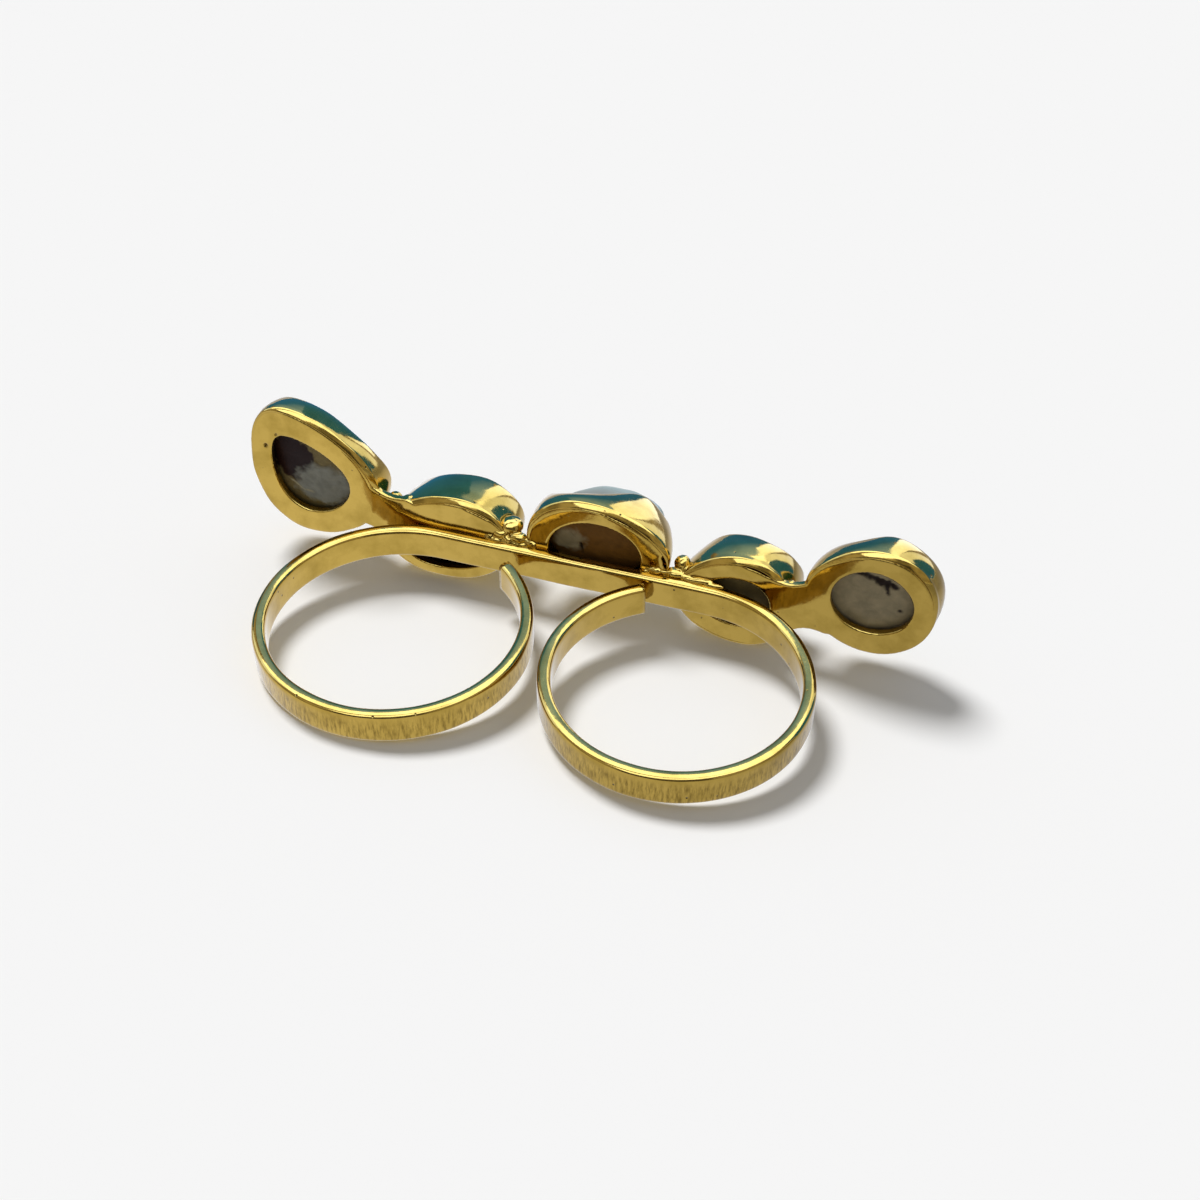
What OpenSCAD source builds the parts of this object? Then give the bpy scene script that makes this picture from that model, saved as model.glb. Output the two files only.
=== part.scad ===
// Two-finger ring with five pearls, lying on its side on a table.
// Lengths are in millimetres. Everything is drawn in the worn frame: +X runs
// along the row of settings, +Y points away from the fingers and +Z runs along
// them. The last step lays the ring down, with its origin under its middle.

/* [Band] */
// Inner radius of the left finger loop
loop_r_left = 8.65; // [8:0.05:9.2]
// Inner radius of the right finger loop
loop_r_right = 8.3; // [8:0.05:9.2]
// Distance between the axes of the two loops
loop_spacing = 19.95; // [19.8:0.05:22]
// Thickness of the strip that the band is bent from
strip_t = 0.95; // [0.8:0.05:1.1]
// Width of the strip
strip_w = 2.45; // [2.2:0.05:3]
// Radius of the strip's worn edges
strip_edge_r = 0.28; // [0.15:0.01:0.4]
// Angle between the left loop's free end and the straight stretch
left_end_gap = 37; // [34:1:60]
// Angle between the right loop's free end and the straight stretch
right_end_gap = 30; // [29:1:60]

/* [Settings] */
// Thickness of the back plates
plate_t = 0.6; // [0.5:0.05:0.8]
// Thickness of the bezel walls
wall_t = 0.55; // [0.45:0.05:0.7]
// How far a back plate is sunk into the strip by its solder
solder_sink = 0.08; // [0.05:0.01:0.15]

/* [Pearls] */
// Gap left between a pearl and the metal round it
pearl_gap = 0.17; // [0.1:0.01:0.2]

/* [Resting on the table] */
// Tilt of the finger loops out of the level
rest_tilt = 7.3; // [6:0.1:10]
// Turn about the row that rests it on both low settings
rest_turn = -0.9; // [-3:0.1:3]
// Shift that puts the middle of the ring's box over the origin, along X
rest_x = -0.5; // [-2:0.01:2]
// Shift that puts the middle of the ring's box over the origin, along Y
rest_y = -2.7; // [-5:0.01:0]
// Height of the loops' middle above the table
rest_z = 2.55; // [2:0.01:5]

/* [Hidden] */

gold = [0.83, 0.66, 0.25];
pearl_dark = [0.36, 0.29, 0.25];
pearl_beige = [0.62, 0.56, 0.47];
pearl_pale = [0.72, 0.76, 0.80];

// Inner face and outer face of the straight stretch, and the plates' backs
bridge_in = loop_r_left;
bridge_out = bridge_in + strip_t;
plate_y = bridge_out - solder_sink;
wall_y = plate_y + plate_t;
right_y = bridge_in - loop_r_right;

// An egg is [x, z, half length, half width, turn, fatness of one end]
EGG_X = 0;
EGG_Z = 1;
EGG_A = 2;
EGG_B = 3;
EGG_TURN = 4;
EGG_FAT = 5;

// Outlines of the five back plates, as eggs, from the left end of the row
plate_eggs = [
    [-10.3, 3.8, 5.4, 4.4, -62, 0.27],
    [0.2, 0.1, 4.85, 3.6, 13, 0.02],
    [11.6, 2.0, 4.95, 3.6, 0, -0.13],
    [21.55, -0.1, 4.3, 3.85, 4, 0.15],
    [31.0, 2.35, 4.45, 4.4, -6, 0.1],
];

// Outlines of the hole in each back plate, as eggs
hole_eggs = [
    [-10.45, 3.6, 3.45, 2.7, -57, 0.33],
    [0.5, -0.5, 3.15, 1.75, 14, 0.05],
    [11.4, 1.6, 3.4, 2.75, 8, 0.0],
    [21.35, -0.1, 2.75, 2.2, 4, 0.1],
    [31.15, 2.4, 2.85, 2.72, -17, -0.03],
];

// The walls: how far the foot stands out from the plate's outline, how far
// the rim closes in along and across the setting, and its lean in x and z
WALL_OUT = 0;
WALL_IN_A = 1;
WALL_IN_B = 2;
WALL_DX = 3;
WALL_DZ = 4;
walls = [
    [0.25, -0.1, -0.1, 0.2, -0.4],
    [0.1, 0.4, 0.4, 0.45, 0.1],
    [0.35, 0.2, 0.5, -0.3, 0.1],
    [0.05, 0.3, 0.5, 0.35, 0.2],
    [0.15, 0.0, 0.1, 0.35, -0.2],
];

// Height of each wall's rim at every twelfth of a turn, from the egg's long end
rims = [
    [1.6, 1.6, 1.9, 1.5, 1.6, 1.7, 1.9, 1.9, 1.8, 1.7, 1.6, 1.6],
    [2.9, 2.9, 3.2, 3.15, 3.4, 3.8, 3.4, 3.1, 3.0, 3.0, 3.0, 3.0],
    [3.0, 3.1, 3.4, 1.9, 1.45, 2.4, 3.1, 3.1, 2.9, 2.8, 2.8, 2.9],
    [3.1, 2.5, 2.35, 2.8, 2.95, 2.4, 2.3, 2.4, 2.5, 2.5, 2.6, 2.8],
    [1.6, 1.65, 1.8, 2.15, 1.65, 1.9, 2.2, 2.2, 2.1, 1.9, 1.7, 1.6],
];

// The pearls: rise over the rim, depth, number and direction of their lumps,
// and how far the crown leans over in x
RISE = 0;
LUMP_H = 1;
LUMP_N = 2;
LUMP_AT = 3;
CROWN_DX = 4;
pearls = [
    [1.0, 0.06, 3, 20, 0],
    [1.0, 0.05, 2, 70, 0],
    [1.9, 0.05, 3, 10, 2.5],
    [1.0, 0.06, 3, 80, 0],
    [0.9, 0.05, 2, 30, 0],
];

// Necks that join two plates: the two settings, half width at the waist,
// extra half width at the ends, and a shift along z
necks = [
    [0, 1, 1.75, 0.5, -0.5],
    [3, 4, 1.95, 0.5, -0.4],
];

// Gold balls in the notches between the settings: x, y, z and radius
granules = [
    [-3.85, 10.5, 2.55, 0.62],
    [5.3, 10.6, 2.3, 0.8],
    [17.3, 10.6, 1.9, 0.8],
    [25.5, 10.5, 2.25, 0.62],
];

// Lumps of solder along the upper edge of the strip: x, y, z and radius
solder = [
    [4.3, 9.6, 1.6, 0.5],
    [5.9, 9.65, 1.35, 0.55],
    [6.3, 9.75, 1.85, 0.5],
    [15.9, 9.6, 1.5, 0.5],
    [16.85, 9.75, 1.7, 0.55],
    [17.5, 9.6, 1.4, 0.5],
];

// Steps round an egg, round a loop, round a ball and round a strip's edge
egg_n = 40;
loop_fn = 128;
ball_fn = 12;
edge_n = 4;

// Point of an egg at angle q, its outline moved inwards by inset [along, across]
function egg_point(e, inset, q) =
    let (u = (e[EGG_A] - inset[0]) * cos(q),
         v = (e[EGG_B] - inset[1]) * sin(q) * (1 + e[EGG_FAT] * cos(q)),
         t = e[EGG_TURN])
    [e[EGG_X] + u * cos(t) - v * sin(t), e[EGG_Z] + u * sin(t) + v * cos(t)];

// Point at depth y over an egg's outline, moved inwards by inset on all sides
function rim_point(e, inset, y, q) =
    let (p = egg_point(e, [inset, inset], q)) [p[0], y, p[1]];

// Smooth curve through twelve values that repeat every full turn, at angle q
function round_curve(v, q) =
    let (s = (q + 360) % 360 / 30, k = floor(s), u = s - k,
         a = v[(k + 11) % 12], b = v[k % 12], c = v[(k + 1) % 12], d = v[(k + 2) % 12])
    b + 0.5 * u * (c - a + u * (2 * a - 5 * b + 4 * c - d + u * (3 * (b - c) + d - a)));

// Height of wall i's rim at angle q, and at its highest
function rim_h(i, q) = round_curve(rims[i], q);
function wall_h(i) = max(rims[i]);

// Inset of a wall's outside at a share g of its height, and its lean there
function wall_inset(w, g) =
    let (swell = w[WALL_OUT] * (1 - g) + 0.1 * sin(180 * g), closed = pow(g, 1.5))
    [w[WALL_IN_A] * closed - swell, w[WALL_IN_B] * closed - swell];
function wall_lean(w, g) = [w[WALL_DX] * g, w[WALL_DZ] * g];

// Point of wall i at a share g of its height and angle q: how far inside its
// outer face, and how far over the place that the share gives
function wall_point(i, g, deep, rise, q) =
    let (w = walls[i], lean = wall_lean(w, g),
         p = egg_point(plate_eggs[i], wall_inset(w, g) + [deep, deep], q))
    [p[0] + lean[0], wall_y + g * rim_h(i, q) + rise, p[1] + lean[1]];

// The section of a setting at angle q, from the hole's edge over the inner
// wall to the rim, then down the outer wall and round its foot
function setting_section(i, q) =
    let (e = plate_eggs[i], h = hole_eggs[i], out = walls[i][WALL_OUT], edge = 0.15)
    [
        rim_point(h, edge, plate_y, q),
        rim_point(h, 0, plate_y + edge, q),
        rim_point(h, 0, wall_y, q),
        for (g = [0, 0.5, 1]) wall_point(i, g, wall_t, 0, q),
        wall_point(i, 1, wall_t * 0.4, 0.1, q),
        for (g = [0.95, 0.6, 0.3, 0]) wall_point(i, g, 0, 0, q),
        rim_point(e, -out, plate_y + edge, q),
        rim_point(e, edge - out, plate_y, q),
    ];

// Quads of a closed ring of n sections with m points each
function ring_faces(n, m) = [
    for (i = [0 : n - 1], j = [0 : m - 1])
        [i * m + j, i * m + (j + 1) % m,
         ((i + 1) % n) * m + (j + 1) % m, ((i + 1) % n) * m + j]
];

// Rounded section of the strip: r from its inner face, z across its width
function strip_section(r0) = [
    for (c = [[0, -1, 180], [1, -1, 270], [1, 1, 0], [0, 1, 90]], k = [0 : edge_n])
        let (q = c[2] + 90 * k / edge_n)
        [r0 + (c[0] == 0 ? strip_edge_r : strip_t - strip_edge_r) + strip_edge_r * cos(q),
         c[1] * (strip_w / 2 - strip_edge_r) + strip_edge_r * sin(q)]
];

// One finger loop, from the straight stretch round to its free end
module loop(r, end_gap) {
    rotate([0, 0, 90])
        rotate_extrude(angle = 360 - end_gap, $fn = loop_fn)
            polygon(strip_section(r));
}

// The band: one strip bent round both fingers, its ends back at the middle
module band() {
    loop(loop_r_left, left_end_gap);
    translate([loop_spacing, right_y, 0])
        mirror([1, 0, 0])
            loop(loop_r_right, right_end_gap);
    translate([loop_spacing, 0, 0])
        rotate([0, -90, 0])
            linear_extrude(loop_spacing)
                polygon([for (p = strip_section(bridge_in)) [p[1], p[0]]]);
}

// One setting: a back plate with a hole and a bezel wall, spun as one ring
module setting(i) {
    sections = [for (k = [0 : egg_n - 1]) setting_section(i, 360 * k / egg_n)];
    m = len(sections[0]);
    polyhedron(points = [for (s = sections) each s], faces = ring_faces(egg_n, m));
}

// A flat neck between two plates, narrowest at its waist
module neck(row) {
    a = plate_eggs[row[0]];
    b = plate_eggs[row[1]];
    steps = 10;
    inset = 0.05;
    p = [a[EGG_X], a[EGG_Z] + row[4]];
    d = [b[EGG_X], b[EGG_Z] + row[4]] - p;
    side = [-d[1], d[0]] / norm(d);
    line = [for (k = [0 : steps])
        let (u = k / steps)
        [p + d * (0.36 + 0.28 * u), row[2] + row[3] * pow(2 * u - 1, 2)]];
    outline = concat(
        [for (k = [0 : steps]) line[k][0] + side * line[k][1]],
        [for (k = [0 : steps]) line[steps - k][0] - side * line[steps - k][1]]);
    translate([0, plate_y + plate_t - inset, 0])
        rotate([90, 0, 0])
            linear_extrude(plate_t - 2 * inset)
                polygon(outline);
}

module ball(row) {
    translate([row[0], row[1], row[2]])
        sphere(r = row[3], $fn = ball_fn);
}

// Lays what is drawn in the worn frame on its side, over the origin
module laid_down() {
    translate([rest_x, rest_y, rest_z])
        rotate([rest_tilt, rest_turn, 0])
            translate([-loop_spacing / 2, 0, 0])
                children();
}

module band_and_settings() {
    color(gold)
        laid_down()
            union() {
                band();
                for (i = [0 : 4]) setting(i);
                for (row = necks) neck(row);
                for (row = granules) ball(row);
                for (row = solder) ball(row);
            }
}

// One round of a pearl at latitude v: its share of the full girth, its depth
function pearl_round(i, v) =
    let (low = wall_y + pearl_gap,
         girth = low + 0.42 * wall_h(i),
         high = wall_y + wall_h(i) + pearls[i][RISE])
    [pow(cos(v), 0.65), girth + (v < 0 ? girth - low : high - girth) * sin(v)];

// Point of a pearl at latitude v and angle q, inside its wall all round
function pearl_point(i, v, q) =
    let (e = plate_eggs[i], row = pearls[i],
         r = pearl_round(i, v),
         depth = max(0, r[1] - wall_y),
         g = min(1, depth / rim_h(i, q)),
         lean = wall_lean(walls[i], min(1, depth / wall_h(i))),
         mid = [e[EGG_X] + lean[0], e[EGG_Z] + lean[1]],
         crown = v > 0 ? [row[CROWN_DX] * (1 - r[0]), 0] : [0, 0],
         side = wall_point(i, g, wall_t + pearl_gap, 0, q),
         lump = 1 - row[LUMP_H] * (0.5 - 0.5 * cos(row[LUMP_N] * (q - row[LUMP_AT] + v / 2))),
         o = mid + crown + ([side[0], side[2]] - mid) * r[0] * lump)
    [o[0], r[1], o[1]];

// A baroque pearl that fills its setting and swells out over the rim
module pearl(i) {
    m = 24;
    latitudes = [-72, -54, -36, -18, 0, 18, 36, 54, 72];
    n = len(latitudes);
    points = concat(
        [for (v = latitudes, k = [0 : m - 1]) pearl_point(i, v, 360 * k / m)],
        [pearl_point(i, -90, 0), pearl_point(i, 90, 0)]);
    faces = concat(
        [for (r = [0 : n - 2], k = [0 : m - 1])
            [r * m + k, r * m + (k + 1) % m, (r + 1) * m + (k + 1) % m, (r + 1) * m + k]],
        [for (k = [0 : m - 1]) [(k + 1) % m, k, n * m]],
        [for (k = [0 : m - 1]) [(n - 1) * m + k, (n - 1) * m + (k + 1) % m, n * m + 1]]);
    laid_down()
        polyhedron(points = points, faces = faces);
}

module pearl_1() { color(pearl_dark) pearl(0); }
module pearl_2() { color(pearl_dark) pearl(1); }
module pearl_3() { color(pearl_pale) pearl(2); }
module pearl_4() { color(pearl_beige) pearl(3); }
module pearl_5() { color(pearl_beige) pearl(4); }

band_and_settings();
pearl_1();
pearl_2();
pearl_3();
pearl_4();
pearl_5();
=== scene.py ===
import math
import random
from collections import namedtuple

import bmesh
import bpy
from bpy.props import FloatProperty, FloatVectorProperty, IntProperty, PointerProperty
from bpy.types import Operator, Panel, PropertyGroup
from mathutils import Matrix, Vector, noise


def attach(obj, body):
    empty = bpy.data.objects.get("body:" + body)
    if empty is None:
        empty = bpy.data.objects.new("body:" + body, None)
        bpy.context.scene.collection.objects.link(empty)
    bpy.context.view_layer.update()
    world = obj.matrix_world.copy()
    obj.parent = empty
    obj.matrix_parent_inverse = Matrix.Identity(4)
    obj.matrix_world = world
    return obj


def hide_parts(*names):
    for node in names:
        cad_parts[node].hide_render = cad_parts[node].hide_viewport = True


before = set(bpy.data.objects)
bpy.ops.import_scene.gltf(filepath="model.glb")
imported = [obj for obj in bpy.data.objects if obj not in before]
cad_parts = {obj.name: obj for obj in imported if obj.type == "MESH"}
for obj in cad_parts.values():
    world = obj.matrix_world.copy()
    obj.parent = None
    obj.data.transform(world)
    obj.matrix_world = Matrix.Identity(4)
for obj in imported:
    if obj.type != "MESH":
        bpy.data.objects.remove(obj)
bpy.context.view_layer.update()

bl_info = {
    "name": "Two-finger pearl ring",
    "version": (1, 0, 0),
    "blender": (4, 5, 0),
    "location": "View3D > Sidebar > Pearl ring",
    "description": "Builds a two-finger ring with five bezel-set baroque pearls, lying on a table",
    "category": "Mesh",
}

# The pieces are shaped in the worn frame, in millimetres, because the smallest
# voxel and merge distance of Blender's tools are made for larger things. There
# +X runs along the row, +Y points from the fingers to the pearls and +Z runs
# along the fingers. laid_down() brings each mesh to metres and onto the table.
MM = 0.001

# An egg-shaped outline: its centre, half length, half width, turn and fatness of one end
Egg = namedtuple("Egg", "x z a b turn fat")
PLATE_EGGS = tuple(Egg(*row) for row in (
    (-10.3, 3.8, 5.4, 4.4, -62, 0.27),
    (0.2, 0.1, 4.85, 3.6, 13, 0.02),
    (11.6, 2.0, 4.95, 3.6, 0, -0.13),
    (21.55, -0.1, 4.3, 3.85, 4, 0.15),
    (31.0, 2.35, 4.45, 4.4, -6, 0.1),
))
HOLE_EGGS = tuple(Egg(*row) for row in (
    (-10.45, 3.6, 3.45, 2.7, -57, 0.33),
    (0.45, -0.85, 3.45, 1.75, 14, 0.05),
    (11.4, 1.6, 3.4, 2.75, 8, 0.0),
    (21.6, -0.12, 2.6, 2.15, 4, 0.1),
    (31.15, 2.4, 2.85, 2.72, -17, -0.03),
))

# How far a wall's foot stands out from its plate's outline, how far the rim closes in
# along and across the setting, and how far the rim leans in x and z
Wall = namedtuple("Wall", "out in_a in_b dx dz")
WALLS = tuple(Wall(*row) for row in (
    (0.25, -0.1, -0.1, 0.2, -0.4),
    (0.1, 0.4, 0.4, 0.45, 0.1),
    (0.35, 0.2, 0.5, -0.3, 0.1),
    (0.05, 0.3, 0.5, 0.35, 0.2),
    (0.15, 0.0, 0.1, 0.35, -0.2),
))

# Height of each wall's rim at every twelfth of a turn, from the egg's long end
RIMS = (
    (1.6, 1.6, 1.9, 1.5, 1.6, 1.7, 1.9, 1.9, 1.8, 1.7, 1.6, 1.6),
    (2.9, 2.9, 3.2, 3.15, 3.4, 3.8, 3.4, 3.1, 3.0, 3.0, 3.0, 3.0),
    (3.0, 3.1, 3.4, 1.9, 1.45, 2.4, 3.1, 3.1, 2.9, 2.8, 2.8, 2.9),
    (3.1, 2.5, 2.35, 2.8, 2.95, 2.4, 2.3, 2.4, 2.5, 2.5, 2.6, 2.8),
    (1.6, 1.65, 1.8, 2.15, 1.65, 1.9, 2.2, 2.2, 2.1, 1.9, 1.7, 1.6),
)

# Section of a wall over its foot: share of its height, rise over that share, and how
# much of the wall's thickness the point lies inside the outer face
UPPER_ROWS = (
    (0.0, -0.02, 1.0), (0.3, 0.0, 1.0), (0.6, 0.0, 1.0), (0.9, 0.0, 1.0), (1.0, -0.05, 1.0),
    (1.0, 0.06, 0.8), (1.0, 0.1, 0.5), (1.0, 0.06, 0.2), (1.0, -0.05, 0.0), (0.9, 0.0, 0.0),
    (0.7, 0.0, 0.0), (0.5, 0.0, 0.0), (0.3, 0.0, 0.0), (0.1, 0.0, 0.0),
)
# Section of the lip in which a wall ends round its plate: height over the plate's back
# and how far inside the outer face, in millimetres, where it is plain and where it is bevelled
Lip = namedtuple("Lip", "high deep bevel_high bevel_deep")
LIP_ROWS = tuple(Lip(*row) for row in (
    (0.6, 0.0, 0.6, 0.0),
    (0.34, 0.0, 0.4, 0.0),
    (0.3, 0.0, 0.36, 0.004),
    (0.16, 0.0, 0.28, 0.03),
    (0.05, 0.05, 0.15, 0.14),
    (0.012, 0.13, 0.03, 0.26),
    (0.03, 0.2, -0.02, 0.33),
    (0.1, 0.25, 0.02, 0.39),
    (0.3, 0.26, 0.3, 0.4),
    (0.55, 0.27, 0.55, 0.41),
))

# Arcs where the lip is bevelled, and arcs where a dark seam shows because the plate's edge
# stands back from the lip: the middle and half of the arc in degrees, and how far it stands back
Arc = namedtuple("Arc", "setting at half inset")
BEVELS = tuple(Arc(*row) for row in (
    (0, 100, 75, 0.26),
    (1, 75, 70, 0.26),
    (2, 90, 90, 0.26),
    (3, 80, 75, 0.26),
    (4, 70, 75, 0.26),
))
SEAMS = tuple(Arc(*row) for row in (
    (0, 105, 55, 0.05),
    (1, 62, 38, 0.07),
    (1, 47, 16, 0.14),
    (2, 90, 85, 0.07),
    (2, 62, 22, 0.12),
    (2, 3, 12, 0.35),
    (3, 75, 50, 0.06),
    (3, 62, 18, 0.2),
    (4, 70, 45, 0.05),
))

# Casting pits in the backs of the plates
Pit = namedtuple("Pit", "x z r depth")
PITS = tuple(Pit(*row) for row in (
    (-13.4, 5.54, 0.13, 0.16),
    (-12.44, 6.7, 0.09, 0.1),
))

# Rise of a pearl over the rim, the depth, number and direction of its lumps, how far its
# crown leans over in x, and its slot
Pearl = namedtuple("Pearl", "rise depth number at crown slot")
PEARLS = tuple(Pearl(*row) for row in (
    (1.0, 0.06, 3, 20, 0.0, "pearl_brown"),
    (1.0, 0.05, 2, 70, 0.0, "pearl_brown"),
    (1.9, 0.05, 3, 10, 1.4, "pearl_beige"),
    (1.0, 0.06, 3, 80, 0.0, "pearl_brown"),
    (0.9, 0.05, 2, 30, 0.0, "pearl_grey"),
))

# A pearl is widest at this share of its highest rim. The powers round off its sides and
# flatten its back
GIRTH_AT = 0.42
SIDE_POWER = 0.65
BACK_POWER = 0.6

# Marks on the pearls' backs, behind the holes: patches of another colour, raised or sunk,
# and how wide their border is
Mark = namedtuple("Mark", "pearl colour x z a b turn rise soft")
MARKS = tuple(Mark(*row) for row in (
    # Painted shade, partly brown nacre: the dark patch over the deep top-left of the first pearl's back
    (0, "nacre_brown", -11.75, 4.3, 2.1, 1.75, -55, 0.0, 0.3),
    (0, "crust", -9.35, 2.35, 2.25, 1.8, 5, 0.14, 0.6),
    (0, "pale_line", -11.6, 1.85, 0.55, 0.07, -33, 0.02, 0.2),
    (0, "pale_line", -10.7, 1.5, 0.55, 0.07, -9, 0.02, 0.2),
    (2, "nacre_grey", 9.3, 2.05, 1.05, 0.95, 20, 0.08, 0.5),
    (2, "chip", 10.29, 1.5, 0.45, 0.1, -80, -0.1, 0.2),
    (4, "chip", 30.1, 4.3, 0.6, 0.16, 3, -0.05, 0.15),
    (4, "chip", 30.95, 4.12, 0.6, 0.22, -8, -0.06, 0.15),
    (4, "chip", 31.65, 3.9, 0.5, 0.3, -12, -0.08, 0.15),
    (4, "chip", 31.95, 3.45, 0.2, 0.45, 12, -0.08, 0.15),
    (4, "chip", 32.4, 3.75, 0.4, 0.2, -30, -0.06, 0.15),
    (4, "chip", 33.05, 1.66, 0.17, 0.12, 0, -0.04, 0.15),
))

# Back sheets: the settings that share one, and the neck between two of them:
# half width at the waist, extra half width at the ends, and shift along z
Neck = namedtuple("Neck", "waist flare shift")
SHEETS = (
    ((0, 1), Neck(1.75, 0.5, -0.5)),
    ((2,), None),
    ((3, 4), Neck(1.95, 0.5, -0.4)),
)

# A neck starts at this share of the way between its plates' middles, and runs over this share
NECK_FROM = 0.36
NECK_LONG = 0.28

# Gold balls in the notches, then lumps of solder along the strip: how many times longer
# each is along the row than it is deep, and how flat it is
Ball = namedtuple("Ball", "x y z r long flat")
GRANULES = tuple(Ball(*row) for row in (
    (-3.88, 10.3, 2.4, 0.5, 1.0, 1.0),
    (-2.8, 10.2, 2.72, 0.36, 1.2, 0.8),
    (4.95, 10.4, 2.05, 0.8, 1.15, 0.72),
    (17.65, 10.4, 1.8, 0.57, 1.0, 1.0),
    (25.0, 9.95, 2.1, 0.3, 1.4, 0.8),
    (25.5, 9.95, 2.35, 0.28, 1.2, 0.9),
))
SOLDER = tuple(Ball(*row) for row in (
    (4.3, 9.75, 1.7, 0.42, 1.4, 0.8),
    (5.7, 9.8, 1.55, 0.45, 1.5, 0.8),
    (6.7, 9.7, 1.45, 0.35, 1.4, 0.8),
    (5.0, 9.55, 1.15, 0.32, 6.0, 0.8),
    (16.0, 9.65, 1.4, 0.38, 1.5, 0.8),
    (17.3, 9.7, 1.4, 0.42, 1.8, 0.7),
    (18.4, 10.0, 1.6, 0.42, 1.8, 0.8),
    (18.9, 9.6, 1.3, 0.42, 3.2, 0.75),
    (20.0, 9.48, 1.15, 0.33, 3.0, 0.8),
))

# Cards that the metal mirrors: azimuth and elevation of the middle in degrees, distance,
# width and height in metres, the colours of foot and top, and the strength. The flag is
# small and stands close to the left end of the row, to keep the right windows off it
Card = namedtuple("Card", "name azimuth elevation far wide high low top strength")
CARDS = tuple(Card(*row) for row in (
    ("window_low", -157, 9, 0.5, 0.50, 0.27, "sky_foot", "sky", 2.3),
    ("window_middle", -157, 42, 0.5, 0.39, 0.33, "sky", "sky_high", 2.3),
    ("window_high", -165, 76, 0.5, 1.0, 0.30, "cloud", "cloud", 5.5),
    ("window_left", -92, 27, 0.5, 0.27, 0.30, "side", "side", 3.4),
    ("window_right_1", 146, 26, 0.5, 0.135, 0.54, "cloud", "cloud", 2.9),
    ("window_right_2", 168, 26, 0.5, 0.15, 0.54, "cloud", "cloud", 4.2),
    ("flag", -133, 25, 0.028, 0.013, 0.021, "sky_foot", "sky", 2.5),
    ("curtain_right", 123, 22, 0.5, 0.25, 0.50, "sky", "sky", 1.9),
    ("curtain_left", -119, 14, 0.5, 0.15, 0.32, "sky", "sky", 1.3),
    ("softbox_front", 35, 63, 0.5, 0.90, 0.27, "cloud", "cloud", 5.0),
    ("photographer", 8, 14, 0.5, 0.60, 0.30, "room_dark", "room_dark", 0.25),
))

# Boxes in which loose crumbs of solder lie: from x, to x, and how many
CRUMBS = ((3.2, 7.0, 20), (15.2, 18.6, 14))


def linear(code):
    """An sRGB hex colour as linear red, green, blue and alpha."""
    parts = [int(code[i:i + 2], 16) / 255 for i in (1, 3, 5)]
    return tuple(p / 12.92 if p <= 0.04045 else ((p + 0.055) / 1.055) ** 2.4 for p in parts) + (1.0,)


def length(name, description, millimetres):
    """A size that the sidebar shows as a length."""
    return FloatProperty(
        name=name, description=description, default=millimetres * MM, unit="LENGTH", precision=5)


def angle(name, description, degrees):
    """An angle that the sidebar shows in degrees."""
    return FloatProperty(
        name=name, description=description, default=math.radians(degrees), subtype="ANGLE")


def colour(name, description, code):
    """A colour that the sidebar shows as a swatch."""
    return FloatVectorProperty(
        name=name, description=description, default=linear(code), subtype="COLOR", size=4, min=0, max=1)


class RingSizes(PropertyGroup):
    """Sizes of the metal and where the ring lies."""

    loop_r_left: length("Left loop radius", "Inner radius of the left finger loop", 8.65)
    loop_r_right: length("Right loop radius", "Inner radius of the right finger loop", 8.3)
    loop_spacing: length("Loop spacing", "Distance between the axes of the two loops", 19.95)
    strip_t: length("Strip thickness", "Thickness of the strip that the band is bent from", 0.95)
    strip_w: length("Strip width", "Width of the strip that the band is bent from", 2.45)
    left_gap: angle("Left gap", "Angle left open between the left free end and the straight stretch", 37)
    right_gap: angle("Right gap", "Angle left open between the right free end and the straight stretch", 30)
    plate_t: length("Plate thickness", "Thickness of the back plates", 0.6)
    wall_t: length("Wall thickness", "Thickness of the bezel walls", 0.55)
    solder_sink: length("Solder sink", "How far the back plates are sunk into the strip", 0.08)
    pearl_gap: length("Pearl gap", "Gap between a pearl and the metal round it", 0.17)
    rest_tilt: angle("Rest tilt", "Tilt of the finger loops out of the level", 7.3)
    rest_turn: angle("Rest turn", "Tilt of the row that rests the ring on its settings", -0.9)
    rest_shift: FloatVectorProperty(
        name="Rest shift", description="Place of the loops' middle over the table",
        default=(-0.5 * MM, -2.7 * MM, 2.55 * MM), subtype="TRANSLATION", precision=5)


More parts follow.
